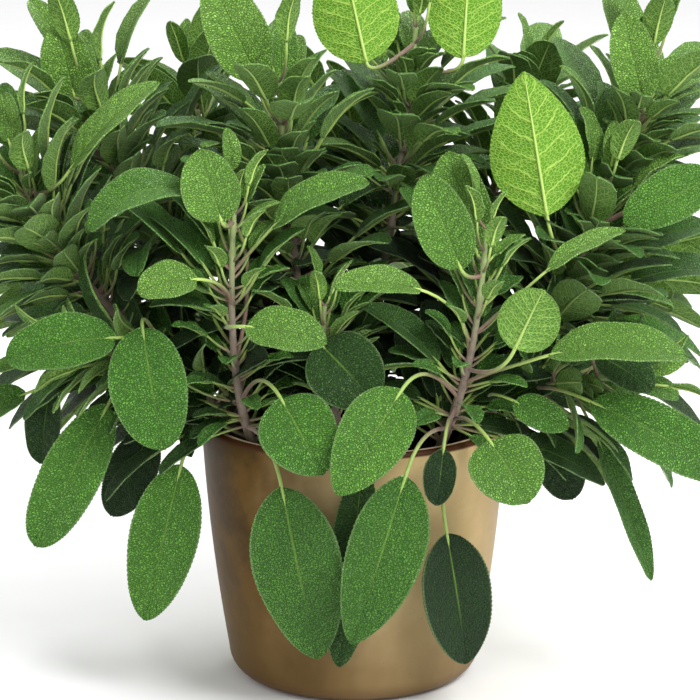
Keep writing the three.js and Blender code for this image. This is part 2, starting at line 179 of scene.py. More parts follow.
# ---- the long-stalked leaves that wind up each stem between them ----
# stem: number of leaves, first place along it, first and last leaf length
SPRAYS = {
    "left_front": (30, 0.2, 20, 22),
    "right_front": (30, 0.2, 20, 22),
    "front_middle": (14, 0.3, 22, 18),
    "centre": (14, 0.5, 46, 30),
    "left_low": (8, 0.4, 36, 24),
    "left": (12, 0.5, 42, 28),
    "left_back": (14, 0.5, 48, 32),
    "right_low": (8, 0.4, 36, 24),
    "right": (14, 0.45, 44, 28),
    "right_back": (14, 0.5, 48, 32),
    "top": (14, 0.5, 46, 32),
}
SPRAY_TURN = math.radians(137.5)
SPRAY_SPREAD_LOW = 70
SPRAY_SPREAD_TIP = 22
SPRAY_DROOP = 0.35
SPRAY_STALK = 0.75
SPRAY_WIDTH = 0.44
SPRAY_BOW = 0.1
SPRAY_TONE, SPRAY_TONE_RISE = 0.4, 0.45

# ---- the small leaves that grow with each stem, in crossed pairs ----
# stem: number of pairs, first and last place along it, first and last leaf length
PAIRS = {
    "left_front": (3, 0.86, 1.0, 26, 16),
    "right_front": (3, 0.82, 1.0, 26, 16),
    "front_middle": (3, 0.55, 1.0, 30, 18),
    "centre": (5, 0.5, 1.0, 48, 22),
    "left_low": (3, 0.7, 1.0, 34, 22),
    "left": (5, 0.5, 1.0, 50, 24),
    "left_back": (5, 0.45, 1.0, 54, 24),
    "right_low": (3, 0.7, 1.0, 34, 22),
    "right": (5, 0.5, 1.0, 46, 22),
    "right_back": (5, 0.45, 1.0, 54, 24),
    "top": (5, 0.5, 1.0, 50, 24),
    "back_left": (5, 0.38, 1.0, 58, 24),
    "back": (5, 0.38, 1.0, 58, 24),
    "back_right": (5, 0.38, 1.0, 58, 24),
    "low_back_left": (5, 0.4, 1.0, 54, 26),
    "low_back_right": (5, 0.4, 1.0, 54, 26),
}
PAIR_SPREAD_LOW = 78
PAIR_SPREAD_TIP = 24
PAIR_DROOP = 0.28
PAIR_STALK = 0.3
PAIR_WIDTH = 0.42
PAIR_FIRST_TURN = 0.4
PAIR_TONE, PAIR_TONE_RISE = 0.6, 0.4
SMALL_BOW = 0.08

# ---- the small leaves that fill in between the others ----
# longest leaf, leaves wanted on each stem, leaves wanted on each front stem
FILLING = [(62, 32, 8), (44, 46, 16), (28, 44, 18)]
FRONT_STEMS = ("left_front", "right_front", "front_middle", "left_low", "right_low")
FILL_FRONT, FILL_LOW = -64, 88  # they stay behind the one and above the other
FILLING_TRIES = 8

PLANT_SEED = 17
SOIL_SEED = 5
LIT_SPACE = (12, 24, 36)      # how far ahead of a back-lit leaf space is kept
POT_SPACE_RADIUS = 0.080      # metres: no small leaf enters the pot or comes near its wall
POT_SPACE_TOP = 0.134
BOX_SLACK = 0.006             # metres a small leaf may reach past the CAD part's box

# ---- leaf blades, stalks and veins, in millimetres ----
STALK_RADIUS = 0.95
LEAF_THICKNESS = 0.6
RIB_COVER = 0.75
SIDE_VEINS = 7.5              # from the base of a blade to its tip
VEIN_SWEEP = 1.5
VEIN_SHIFT = 0.25             # of the right half's veins against the left half's
QUILT_HEIGHT = 0.55
RIB_GROOVE_DEPTH = 0.5
RIB_GROOVE_WIDTH = 0.08       # as a share of the half width
LEAF_CUP = 0.24
LEAF_TONE = 0.62              # of a large leaf that has none of its own
LIT_TONE_RISE = 0.42          # how much lighter the highest leaves are
LIT_TONE_LOW = 215
LIT_TONE_SPAN = 110


# ---- small helpers ----
def deselect_all():
    bpy.ops.object.select_all(action="DESELECT")


def pick(*objects):
    deselect_all()
    for thing in objects:
        thing.select_set(True)
    bpy.context.view_layer.objects.active = objects[0]


def rename(thing, name):
    thing.name = name
    thing.data.name = name


def apply_modifier(thing, kind, **settings):
    """Adds one modifier, sets it up and applies it."""
    pick(thing)
    modifier = thing.modifiers.new(kind.title(), kind)
    for key, value in settings.items():
        setattr(modifier, key, value)
    bpy.ops.object.modifier_apply(modifier=modifier.name)


def finish_outside(thing):
    """Merges doubles and turns every face outwards."""
    pick(thing)
    bpy.ops.object.mode_set(mode="EDIT")
    bpy.ops.mesh.select_all(action="SELECT")
    bpy.ops.mesh.remove_doubles(threshold=1e-6)
    bpy.ops.mesh.normals_make_consistent(inside=False)
    bpy.ops.object.mode_set(mode="OBJECT")


def drawn_up(name, profile, segments):
    """A round piece raised ring by ring through its (radius, height) profile, in millimetres."""
    deselect_all()
    radius, height = profile[0]
    bpy.ops.mesh.primitive_circle_add(
        vertices=segments, radius=radius * MM, fill_type="NGON", location=(0, 0, height * MM))
    piece = bpy.context.active_object
    rename(piece, name)
    bpy.ops.object.transform_apply(location=True)
    bpy.ops.object.mode_set(mode="EDIT")
    bpy.ops.mesh.select_all(action="SELECT")
    for (radius, height), (next_radius, next_height) in zip(profile, profile[1:]):
        bpy.ops.mesh.extrude_region_move(
            TRANSFORM_OT_translate={"value": (0, 0, (next_height - height) * MM)})
        ratio = next_radius / radius
        bpy.ops.transform.resize(value=(ratio, ratio, 1), center_override=(0, 0, next_height * MM))
    bpy.ops.object.mode_set(mode="OBJECT")
    finish_outside(piece)
    return piece


def arc(centre, radii, start, stop, steps):
    """Points of an elliptic arc in the (radius, height) plane, angles in degrees."""
    points = []
    for i in range(steps + 1):
        angle = math.radians(start + (stop - start) * i / steps)
        points.append((centre[0] + radii[0] * math.cos(angle), centre[1] + radii[1] * math.sin(angle)))
    return points


# ---- curves ----
def vec(values):
    return Vector(values)


def bezier3(points, t):
    a, b, c, d = points
    s = 1 - t
    return a * s ** 3 + b * 3 * s * s * t + c * 3 * s * t * t + d * t ** 3


def bezier3_way(points, t):
    a, b, c, d = points
    s = 1 - t
    return ((b - a) * s * s + (c - b) * 2 * s * t + (d - c) * t * t).normalized()


def bezier2(points, t):
    a, b, c = points
    s = 1 - t
    return a * s * s + b * 2 * s * t + c * t * t


def bezier2_way(points, t):
    a, b, c = points
    return ((b - a) * (1 - t) + (c - b) * t).normalized()


def stem_points(name):
    return [vec(p) for p in STEMS[name]]


def stem_radius(place):
    return STEM_ROOT_RADIUS + (STEM_TIP_RADIUS - STEM_ROOT_RADIUS) * place


def leaf_curves(start, base, tip, face, bow):
    """The stalk from the stem to the blade, and the blade's midrib, which bows towards its face."""
    run = tip - base
    normal = (face - run * (face.dot(run) / run.length_squared)).normalized()
    middle = (base + tip) / 2 + normal * (2 * bow)
    outward = (middle - base).normalized()
    stalk = base - start
    reach = stalk.length * (0.35 + 0.35 * max(0, stalk.normalized().dot(outward)))
    return (start, base - outward * reach, base), (base, middle, tip)


def blade_half(share, lean=0.0):
    """Half the blade's width at a share of its length; lean draws the tip to a point."""
    return (4 * share * (1 - share)) ** (0.52 + 0.6 * lean) * (1.06 + lean - (0.18 + 2 * lean) * share)


# ---- masters that every leaf and stem is copied from ----
def blade_master(name, across, along, toothed):
    """A flat blade. X is -1 to 1 across it, Y is 0 to 1 along it and Z is its relief in millimetres."""
    deselect_all()
    bpy.ops.mesh.primitive_grid_add(
        x_subdivisions=across, y_subdivisions=along, size=2, location=(0, 0, 0), calc_uvs=False)
    master = bpy.context.active_object
    rename(master, name)
    mesh = master.data
    edge = mesh.attributes.new("tooth", "FLOAT", "POINT")
    row_step = 2 / along
    for vertex in mesh.vertices:
        u, row = vertex.co.x, (vertex.co.y + 1) / 2
        v = 0.5 - 0.5 * math.cos(math.pi * min(1, max(0, row * 0.985 + 0.0075)))
        number = round((vertex.co.y + 1) / row_step)
        edge.data[vertex.index].value = (0.5 if number % 2 else -0.5) * toothed * abs(u) ** 12
        vertex.co = (u, v, relief(u, v) if toothed else relief(u, v) * 0.7)
    return master


def relief(u, v):
    """Quilting between the side veins, and the groove of the midrib, in millimetres."""
    shift = VEIN_SHIFT if u > 0 else 0
    side_veins = abs(math.sin(math.pi * (v * SIDE_VEINS - abs(u) * VEIN_SWEEP + shift)))
    quilt = QUILT_HEIGHT * (side_veins ** 0.7 - 0.5) * min(1, abs(u) * 4) * (1 - abs(u) ** 6)
    groove = -RIB_GROOVE_DEPTH * math.exp(-(u / RIB_GROOVE_WIDTH) ** 2) * (1 - 0.8 * v)
    return quilt + groove


def rod_master(name, sides, steps):
    """A straight closed rod of unit radius and unit height."""
    profile = [(1 / MM, i / steps / MM) for i in range(steps + 1)]
    return drawn_up(name, profile, sides)


def set_points(mesh, name, values):
    layer = mesh.attributes.get(name) or mesh.attributes.new(name, "FLOAT", "POINT")
    layer.data.foreach_set("value", values)


def laid_blade(master, blade, face, width, tone, wave=0.0, curl=0.0, lean=0.0, skew=0.0):
    """A copy of the flat blade laid along its midrib curve."""
    mesh = master.data.copy()
    teeth = [item.value for item in mesh.attributes["tooth"].data]
    across, along, tones, across_mm, along_mm = [], [], [], [], []
    length = (blade[2] - blade[0]).length
    stations = {}
    for vertex in mesh.vertices:
        u, v, height = vertex.co
        key = round(v, 5)
        if key not in stations:
            way = bezier2_way(blade, v)
            side = way.cross(face).normalized()
            stations[key] = (bezier2(blade, v), side, side.cross(way))
        centre, side, normal = stations[key]
        half = max(0.5, width / 2 * blade_half(v, lean)) * (1 + skew * u) + teeth[vertex.index]
        cup = LEAF_CUP * half * abs(u) ** 1.3
        ripple = wave * abs(u) ** 2 * math.sin(v * 14 + u * 2) + curl * half * abs(u) ** 3 * v
        place = centre + side * (u * half) + normal * (cup + height + ripple)
        vertex.co = place * MM
        across.append(u)
        along.append(v)
        tones.append(tone)
        across_mm.append(u * half)
        along_mm.append(v * length)
    mesh.attributes.remove(mesh.attributes["tooth"])
    set_points(mesh, "across_mm", across_mm)
    set_points(mesh, "along_mm", along_mm)
    set_points(mesh, "across", across)
    set_points(mesh, "along", along)
    set_points(mesh, "tone", tones)
    return mesh


def laid_rod(master, spots, tone):
    """A copy of the rod laid through (centre, side, normal, half width, half height) spots."""
    mesh = master.data.copy()
    across, along, tones = [], [], []
    for vertex in mesh.vertices:
        x, y, share = vertex.co
        centre, side, normal, wide, deep, mark = spots(share)
        vertex.co = (centre + side * (x * wide) - normal * (y * deep)) * MM
        across.append(x)
        along.append(mark)
        tones.append(tone)
    set_points(mesh, "across", across)
    set_points(mesh, "along", along)
    set_points(mesh, "tone", tones)
    return mesh


def stalk_and_rib(master, stalk, blade, face, width, tone):
    """The leaf stalk, which runs on under the blade as its midrib and thins out to the tip."""
    stalk_share = 0.45
    slim = min(1, 0.55 + width / 60)

    def spots(share):
        if share < stalk_share:
            t = share / stalk_share
            centre, way = bezier2(stalk, t), bezier2_way(stalk, t)
            radius, sink = STALK_RADIUS * slim * (1.15 - 0.25 * t), 0
        else:
            t = (share - stalk_share) / (1 - stalk_share) * 0.93
            centre, way = bezier2(blade, t), bezier2_way(blade, t)
            radius = STALK_RADIUS * slim * (0.9 - 0.75 * t)
            sink = -(RIB_COVER + 0.9 * radius) * min(1, t * 8)
        side = way.cross(face).normalized()
        normal = side.cross(way)
        mark = 0.55 * share / stalk_share if share < stalk_share else 0.55 + 0.45 * t
        return centre + normal * sink, side, normal, radius, radius * 0.9, mark

    return laid_rod(master, spots, tone)


def stem_rod(master, name, knots):
    """A round shoot, rooted in the soil and thicker where each pair of leaves grows from it."""
    points = stem_points(name)
    first = bezier3_way(points, 0)
    root_share = 0.06

    def spots(share):
        place = max(0, (share - root_share) / (1 - root_share))
        centre, way = bezier3(points, place), bezier3_way(points, place)
        if share < root_share:
            centre = centre - first * (ROOT_DEPTH * (1 - share / root_share))
        side = Vector((0, 1, 0)).cross(way).normalized()
        swell = 1 + 0.4 * sum(math.exp(-((place - knot) / 0.014) ** 2) for knot in knots)
        radius = stem_radius(place) * swell
        return centre, side, side.cross(way), radius, radius, place

    return laid_rod(master, spots, 0.5)


# ---- materials ----
def new_material(name):
    material = bpy.data.materials.new(name)
    material.use_nodes = True
    material.node_tree.nodes.clear()
    return material


class Sheet:
    """Short hand for laying out nodes in a material or a node group."""

    def __init__(self, tree):
        self.tree = tree

    def add(self, kind, inputs=(), **settings):
        node = self.tree.nodes.new(kind)
        for key, value in settings.items():
            setattr(node, key, value)
        for socket, value in dict(inputs).items():
            self.feed(node, socket, value)
        return node

    def feed(self, node, socket, value):
        target = node.inputs[socket]
        if isinstance(value, bpy.types.NodeSocket):
            self.tree.links.new(value, target)
        else:
            target.default_value = value

    def math(self, operation, a, b=0.0):
        return self.add("ShaderNodeMath", {0: a, 1: b}, operation=operation).outputs[0]

    def ramp(self, value, low, high):
        """0 below low, 1 above high, smooth between; low may be the larger."""
        node = self.add("ShaderNodeMapRange", {0: value, 1: low, 2: high, 3: 0.0, 4: 1.0},
                        interpolation_type="SMOOTHSTEP")
        return node.outputs[0]

    def mix(self, factor, a, b, blend="MIX"):
        node = self.add("ShaderNodeMix", data_type="RGBA", blend_type=blend)
        for socket, value in ((node.inputs[0], factor), (node.inputs[6], a), (node.inputs[7], b)):
            if isinstance(value, bpy.types.NodeSocket):
                self.tree.links.new(value, socket)
            else:
                socket.default_value = value
        return node.outputs[2]

    def attribute(self, name):
        return self.add("ShaderNodeAttribute", attribute_name=name).outputs["Fac"]

    def objects(self):
        return self.add("ShaderNodeTexCoord").outputs["Object"]

    def noise(self, scale, detail=3.0, rough=0.55):
        settings = {"Vector": self.objects(), "Scale": scale, "Detail": detail, "Roughness": rough}
        return self.add("ShaderNodeTexNoise", settings).outputs[0]

    def cell_edges(self, scale, where):
        """How far each spot is from the edge of its cell."""
        return self.add("ShaderNodeTexVoronoi", {"Vector": where, "Scale": scale},
                        feature="DISTANCE_TO_EDGE").outputs["Distance"]


def rgb(red, green, blue):
    """A colour from its screen values, 0 to 255."""
    def linear(value):
        value /= 255
        return value / 12.92 if value <= 0.04045 else ((value + 0.055) / 1.055) ** 2.4
    return (linear(red), linear(green), linear(blue), 1.0)


def new_group(name, inputs, outputs):
    group = bpy.data.node_groups.new(name, "ShaderNodeTree")
    for socket, kind, value in inputs:
        made = group.interface.new_socket(socket, in_out="INPUT", socket_type=kind)
        made.default_value = value
    for socket, kind in outputs:
        group.interface.new_socket(socket, in_out="OUTPUT", socket_type=kind)
    sheet = Sheet(group)
    return group, sheet, sheet.add("NodeGroupInput").outputs, sheet.add("NodeGroupOutput")


def veins_group():
    """Where the midrib, the side veins, the wrinkles between them and the margin lie on a blade."""
    group, sheet, given, out = new_group(
        "leaf_veins",
        [("Cells Per mm", "NodeSocketFloat", 0.98), ("Groove", "NodeSocketFloat", 0.16),
         ("Side Veins", "NodeSocketFloat", SIDE_VEINS), ("Vein Width", "NodeSocketFloat", 0.1)],
        [("Groove", "NodeSocketFloat"), ("Pebble", "NodeSocketFloat"), ("Side Vein", "NodeSocketFloat"),
         ("Midrib", "NodeSocketFloat"), ("Margin", "NodeSocketFloat")])
    across, along = sheet.attribute("across"), sheet.attribute("along")
    away = sheet.math("ABSOLUTE", across)
    drift = sheet.math("MULTIPLY", sheet.math("SUBTRACT", sheet.noise(160.0, 1.0), 0.5), 0.5)
    shift = sheet.math("MULTIPLY", sheet.math("GREATER_THAN", across, 0.0), VEIN_SHIFT)
    sweep = sheet.math("SUBTRACT", sheet.math("MULTIPLY", along, given["Side Veins"]),
                       sheet.math("MULTIPLY", away, VEIN_SWEEP))
    phase = sheet.math("ADD", sheet.math("ADD", sweep, shift), drift)
    side_vein = sheet.ramp(sheet.math("PINGPONG", phase, 0.5), given["Vein Width"], 0.0)
    side_vein = sheet.math("MULTIPLY", side_vein, sheet.ramp(away, 0.97, 0.6))
    midrib = sheet.ramp(away, 0.045, 0.012)
    margin = sheet.ramp(away, 0.93, 0.99)
    out_mm = sheet.attribute("across_mm")
    slant = sheet.math("MULTIPLY", sheet.math("ABSOLUTE", out_mm), 0.5)
    rows = sheet.math("SUBTRACT", sheet.math("MULTIPLY", sheet.attribute("along_mm"), 1.2), slant)
    lane = sheet.math("MULTIPLY", out_mm, 0.8)
    seed = sheet.math("MULTIPLY", sheet.attribute("tone"), 90.0)
    place = sheet.add("ShaderNodeCombineXYZ", {0: lane, 1: rows, 2: seed}).outputs[0]
    edge = sheet.cell_edges(given["Cells Per mm"], place)
    groove = sheet.ramp(edge, given["Groove"], 0.02)
    pebble = sheet.ramp(edge, 0.02, 0.3)
    for socket, value in (("Groove", groove), ("Pebble", pebble), ("Side Vein", side_vein),
                          ("Midrib", midrib), ("Margin", margin)):
        sheet.feed(out, socket, value)
    return group


VEINS = veins_group()


def shader(sheet, colour, roughness, height, strength, distance, **constants):
    """The Principled shader with a bump, its constants set on its own sockets."""
    bump = sheet.add("ShaderNodeBump", {"Strength": strength, "Distance": distance, "Height": height})
    glossy = sheet.add("ShaderNodeBsdfPrincipled",
                       {"Base Color": colour, "Roughness": roughness, "Normal": bump.outputs[0]})
    for socket, value in constants.items():
        glossy.inputs[socket.replace("_", " ")].default_value = value
    sheet.add("ShaderNodeOutputMaterial", {"Surface": glossy.outputs[0]})


def leaf_upper():
    material = new_material("sage_upper_side")
    sheet = Sheet(material.node_tree)
    veins = sheet.add("ShaderNodeGroup", node_tree=VEINS)
    tone = sheet.attribute("tone")
    patches = sheet.noise(45.0, 2.0)
    # the darkest colour is that of old leaves and also the painted shade of leaves set dark because they sit
    # in shade
    old_and_shaded = sheet.mix(patches, rgb(22, 54, 14), rgb(40, 80, 22))
    grown = sheet.mix(patches, rgb(68, 132, 30), rgb(100, 166, 46))
    # the lightest colour is that of young leaves and also the painted light on the highest leaves
    young = sheet.mix(patches, rgb(134, 188, 66), rgb(162, 210, 98))
    body = sheet.mix(sheet.ramp(tone, 0.0, 0.5), old_and_shaded, grown)
    body = sheet.mix(sheet.ramp(tone, 0.55, 1.0), body, young)
    # the grooves between the pebbles are painted dark, as shade in the creases
    deep = veins.outputs["Groove"]
    body = sheet.mix(deep, body, sheet.mix(1.0, body, (0.26, 0.34, 0.24, 1), "MULTIPLY"))
    pebble = veins.outputs["Pebble"]
    # the pebbles are painted paler, partly as their pale hairs and partly as a painted highlight on each
    # bump, which fades on dark shaded leaves
    downy = sheet.math("MULTIPLY", pebble, sheet.ramp(tone, -0.1, 0.5))
    body = sheet.mix(sheet.math("MULTIPLY", downy, 0.2), body, rgb(150, 200, 108))
    body = sheet.mix(sheet.math("MULTIPLY", veins.outputs["Side Vein"], 0.12), body, rgb(50, 96, 38))
    rib = sheet.math("MULTIPLY", veins.outputs["Midrib"], sheet.ramp(sheet.attribute("along"), 0.85, 0.3))
    body = sheet.mix(sheet.math("MULTIPLY", rib, 0.5), body, rgb(140, 186, 76))
    body = sheet.mix(sheet.math("MULTIPLY", veins.outputs["Margin"], 0.3), body, rgb(160, 194, 126))
    height = sheet.math("SUBTRACT", pebble, sheet.math("MULTIPLY", veins.outputs["Side Vein"], 0.35))
    height = sheet.math("SUBTRACT", height, sheet.math("MULTIPLY", veins.outputs["Midrib"], 0.8))
    roughness = sheet.math("SUBTRACT", 0.62, sheet.math("MULTIPLY", pebble, 0.2))
    shader(sheet, body, roughness, height, 1.0, 0.0013, Sheen_Weight=0.05, Sheen_Roughness=0.4,
           Specular_IOR_Level=0.25)
    return material


def leaf_under(name, cell, net):
    """The underside: paler, with a raised net of veins."""
    material = new_material(name)
    sheet = Sheet(material.node_tree)
    veins = sheet.add("ShaderNodeGroup", node_tree=VEINS)
    for socket, value in (("Vein Width", 0.07), ("Cells Per mm", 0.66), ("Groove", 0.16)):
        veins.inputs[socket].default_value = value
    fine = veins.outputs["Groove"]
    lines = sheet.math("MAXIMUM", fine, veins.outputs["Side Vein"])
    lines = sheet.math("MAXIMUM", lines, veins.outputs["Midrib"])
    patches = sheet.noise(60.0, 2.0)
    shade = tuple(0.72 * part for part in cell[:3]) + (1.0,)
    body = sheet.mix(patches, shade, cell)
    weak = sheet.math("MULTIPLY", fine, 0.55)
    body = sheet.mix(weak, body, net)
    strong = sheet.math("MAXIMUM", veins.outputs["Side Vein"], veins.outputs["Midrib"])
    body = sheet.mix(sheet.math("MULTIPLY", strong, 0.8), body, net)
    shader(sheet, body, 0.66, lines, 0.6, 0.0005, Sheen_Weight=0.12, Sheen_Roughness=0.4,
           Specular_IOR_Level=0.2)
    return material


def stalk_skin():
    """Leaf stalks: dusky purple-brown at the stem, pale yellow-green by the blade."""
    material = new_material("sage_stalk")
    sheet = Sheet(material.node_tree)
    along = sheet.attribute("along")
    streak = sheet.noise(380.0, 3.0)
    dusky = sheet.mix(streak, rgb(98, 72, 64), rgb(146, 120, 98))
    pale = sheet.mix(streak, rgb(112, 144, 56), rgb(160, 186, 92))
    body = sheet.mix(sheet.ramp(along, 0.08, 0.5), dusky, pale)
    young = sheet.ramp(sheet.attribute("tone"), 0.5, 1.0)
    fresh = sheet.math("MULTIPLY", young, sheet.ramp(along, 0.3, 0.6))
    body = sheet.mix(fresh, body, rgb(178, 206, 104))
    shader(sheet, body, 0.6, streak, 0.3, 0.0004, Sheen_Weight=0.25, Sheen_Roughness=0.5)
    return material


def stem_bark():
    """Shoots: woody brown at the soil, downy purple-grey in the middle, green at the tip."""
    material = new_material("sage_stem")
    sheet = Sheet(material.node_tree)
    along = sheet.attribute("along")
    streak = sheet.noise(300.0, 4.0)
    woody = sheet.mix(streak, rgb(58, 46, 36), rgb(110, 92, 72))
    downy = sheet.mix(streak, rgb(96, 78, 74), rgb(152, 138, 118))
    green = sheet.mix(streak, rgb(120, 140, 84), rgb(168, 186, 118))
    body = sheet.mix(sheet.ramp(along, 0.05, 0.35), woody, downy)
    body = sheet.mix(sheet.ramp(along, 0.6, 0.95), body, green)
    shader(sheet, body, 0.7, streak, 0.5, 0.0006, Sheen_Weight=0.2, Sheen_Roughness=0.5)
    return material


def pot_glaze():
    """Satin glaze: brown and mottled to the left, khaki to the right, with a dark line at the lip; the dark
    left and light right are partly the glaze's own colours and partly painted shade and painted light.
    """
    material = new_material("brown_glaze")
    sheet = Sheet(material.node_tree)
    spot = sheet.objects()
    axes = sheet.add("ShaderNodeSeparateXYZ", {0: spot}).outputs
    cloud = sheet.noise(18.0, 4.0, 0.6)
    drift = sheet.math("ADD", axes["X"], sheet.math("MULTIPLY", sheet.math("SUBTRACT", cloud, 0.5), 0.08))
    # brown to the left, khaki to the right: partly the glaze's colour, partly painted shade on the left and
    # painted light on the right
    turn = sheet.ramp(drift, -0.05, 0.03)
    brown = sheet.mix(sheet.ramp(sheet.noise(34.0, 5.0, 0.65), 0.35, 0.7), rgb(68, 48, 8), rgb(98, 70, 18))
    khaki = sheet.mix(sheet.ramp(cloud, 0.3, 0.75), rgb(168, 144, 98), rgb(198, 174, 130))
    body = sheet.mix(turn, brown, khaki)
    warm = sheet.math("MULTIPLY", sheet.ramp(drift, 0.045, 0.075), 0.6)
    body = sheet.mix(warm, body, rgb(184, 150, 108))
    plum = sheet.math("MULTIPLY", sheet.ramp(sheet.noise(24.0, 3.0), 0.58, 0.72), 0.22)
    body = sheet.mix(plum, body, rgb(104, 68, 58))
    speck = sheet.ramp(sheet.noise(900.0, 2.0), 0.66, 0.76)
    body = sheet.mix(sheet.math("MULTIPLY", speck, 0.35), body, rgb(58, 40, 24))
    line_low = (POT_HEIGHT - 3.2) * MM
    lip = sheet.ramp(axes["Z"], line_low, line_low + 0.0012)
    body = sheet.mix(lip, body, rgb(66, 38, 20))
    low = sheet.math("MULTIPLY", sheet.ramp(axes["Z"], 0.085, 0.005), 0.75)
    body = sheet.mix(low, body, rgb(94, 72, 38))
    foot = sheet.ramp(axes["Z"], 0.012, 0.001)
    body = sheet.mix(sheet.math("MULTIPLY", foot, 0.6), body, rgb(96, 66, 34))
    roughness = sheet.math("ADD", sheet.math("MULTIPLY", cloud, 0.16), 0.4)
    ripple = sheet.noise(60.0, 3.0)
    shader(sheet, body, roughness, ripple, 0.12, 0.002, Specular_IOR_Level=0.12)
    return material


def bare_clay():
    """The unglazed cream inside of the pot."""
    material = new_material("cream_clay")
    sheet = Sheet(material.node_tree)
    grain = sheet.noise(420.0, 5.0, 0.7)
    stain = sheet.noise(40.0, 3.0)
    body = sheet.mix(grain, rgb(186, 160, 132), rgb(222, 202, 176))
    body = sheet.mix(sheet.math("MULTIPLY", sheet.ramp(stain, 0.5, 0.75), 0.4), body, rgb(150, 116, 86))
    shader(sheet, body, 0.85, grain, 0.35, 0.0005)
    return material


def potting_mix():
    material = new_material("potting_mix")
    sheet = Sheet(material.node_tree)
    clump = sheet.noise(260.0, 6.0, 0.7)
    fibre = sheet.noise(1200.0, 4.0, 0.7)
    body = sheet.mix(sheet.ramp(clump, 0.35, 0.7), rgb(18, 13, 10), rgb(58, 44, 32))
    body = sheet.mix(sheet.math("MULTIPLY", sheet.ramp(fibre, 0.6, 0.8), 0.5), body, rgb(104, 82, 58))
    shader(sheet, body, 0.92, clump, 0.9, 0.0015)
    return material


UPPER = leaf_upper()
UNDER = leaf_under("sage_underside", rgb(82, 124, 44), rgb(146, 182, 88))
# a lit copy of the underside, painted brighter and yellower as light shining through the leaf
LIT_UNDER = leaf_under("sage_lit_underside", rgb(94, 150, 36), rgb(176, 208, 96))
STALK = stalk_skin()
BARK = stem_bark()


# ---- pieces ----
def side_radius(height):
    rise = (height - FOOT_HEIGHT) / (POT_HEIGHT - FOOT_HEIGHT)
    return FOOT_RADIUS + (RIM_RADIUS - FOOT_RADIUS) * rise + SIDE_BULGE * 4 * rise * (1 - rise)


def make_pot():
    lip = POT_HEIGHT - LIP_ROUND
    heights = [FOOT_HEIGHT + 8 * i for i in range(1, 14)]
    profile = [(20, 0), (BASE_RADIUS - 8, 0)]
    profile += arc((BASE_RADIUS, FOOT_HEIGHT), (FOOT_RADIUS - BASE_RADIUS, FOOT_HEIGHT), -90, 0, 10)
    profile += [(side_radius(h), h) for h in heights]
    profile += arc((RIM_RADIUS - LIP_ROUND, lip), (LIP_ROUND, LIP_ROUND), 0, 90, 6)
    profile += arc((RIM_RADIUS - WALL + LIP_ROUND, lip), (LIP_ROUND, LIP_ROUND), 90, 180, 6)
    profile += [(side_radius(h) - WALL, h) for h in (120, 110, 80, 50, 30)]
    corner = (FOOT_RADIUS - WALL - INNER_CORNER, FLOOR_THICKNESS + INNER_CORNER)
    profile += arc(corner, (INNER_CORNER, INNER_CORNER), 0, -90, 4)
    pot = drawn_up("pot_body", profile, 144)
    pot.data.materials.append(pot_glaze())
    pot.data.materials.append(bare_clay())
    mouth = (RIM_RADIUS - LIP_ROUND - 0.4) * MM
    for face in pot.data.polygons:
        reach = math.hypot(face.center.x, face.center.y)
        inner_wall = reach < side_radius(max(face.center.z / MM, FOOT_HEIGHT)) * MM - 0.003
        top = face.center.z > (POT_HEIGHT - 1) * MM and reach < mouth
        inside = inner_wall and face.center.z > 0.006
        face.material_index = 1 if inside or top else 0
    smooth(pot, 40)
    own(pot, "glazed_earthenware", "pot")


def smooth(piece, angle):
    pick(piece)
    bpy.ops.object.shade_smooth_by_angle(angle=math.radians(angle))


def own(piece, slot, *nodes):
    """The piece rides with the pot and stands for its CAD nodes; its slot is not used."""
    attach(piece, "root")
    if nodes:
        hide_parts(*nodes)


def make_soil():
    """A tapered plug with a low, roughened dome on top and loose crumbs on the dome."""
    rings = [(RIM_RADIUS - WALL - 2.2) * round(1 - 0.07 * i, 2) for i in range(14)]
    edge = SOIL_LEVEL - 2
    profile = [(46, 9), (52, 12), (60, 40), (64, 80), (rings[0], edge - 6)]
    profile += [(radius, edge + SOIL_DOME * (1 - (radius / rings[0]) ** 2)) for radius in rings]
    soil = drawn_up("potting_mix", profile, 96)
    chance = random.Random(SOIL_SEED)
    for vertex in soil.data.vertices:
        if vertex.co.z > (edge - 1) * MM:
            vertex.co.z += chance.uniform(-1.0, 0.8) * MM
    deselect_all()
    bpy.ops.mesh.primitive_ico_sphere_add(subdivisions=1, radius=MM)
    master = bpy.context.active_object
    crumbs = []
    for number in range(CRUMBS):
        reach = (RIM_RADIUS - WALL - 6) * math.sqrt(chance.random())
        angle = chance.uniform(0, 2 * math.pi)
        size = chance.uniform(0.6, 2.4)
        height = edge + SOIL_DOME * (1 - (reach / rings[0]) ** 2) + size * 0.2
        crumb = bpy.data.objects.new(f"crumb_{number}", master.data.copy())
        bpy.context.collection.objects.link(crumb)
        turn = Matrix.Rotation(chance.uniform(0, 6), 4, Vector((chance.random(), chance.random(), 1)))
        place = Matrix.Translation(Vector((reach * math.cos(angle), reach * math.sin(angle), height)) * MM)
        crumb.data.transform(place @ turn @ Matrix.Diagonal((size, size * 0.8, size * 0.6, 1)))
        crumbs.append(crumb)
    bpy.data.objects.remove(master)
    pick(soil, *crumbs)
    bpy.ops.object.join()
    soil.data.materials.append(potting_mix())
    own(soil, "potting_mix", "soil")


# ---- leaves ----
def lit_tone(tone, tip):
    """Leaves high on the plant are painted lighter: partly as younger leaves, partly as painted light on the
    top of the plant.
    """
    return min(1, tone + LIT_TONE_RISE * max(0, (tip.z - LIT_TONE_LOW) / LIT_TONE_SPAN))


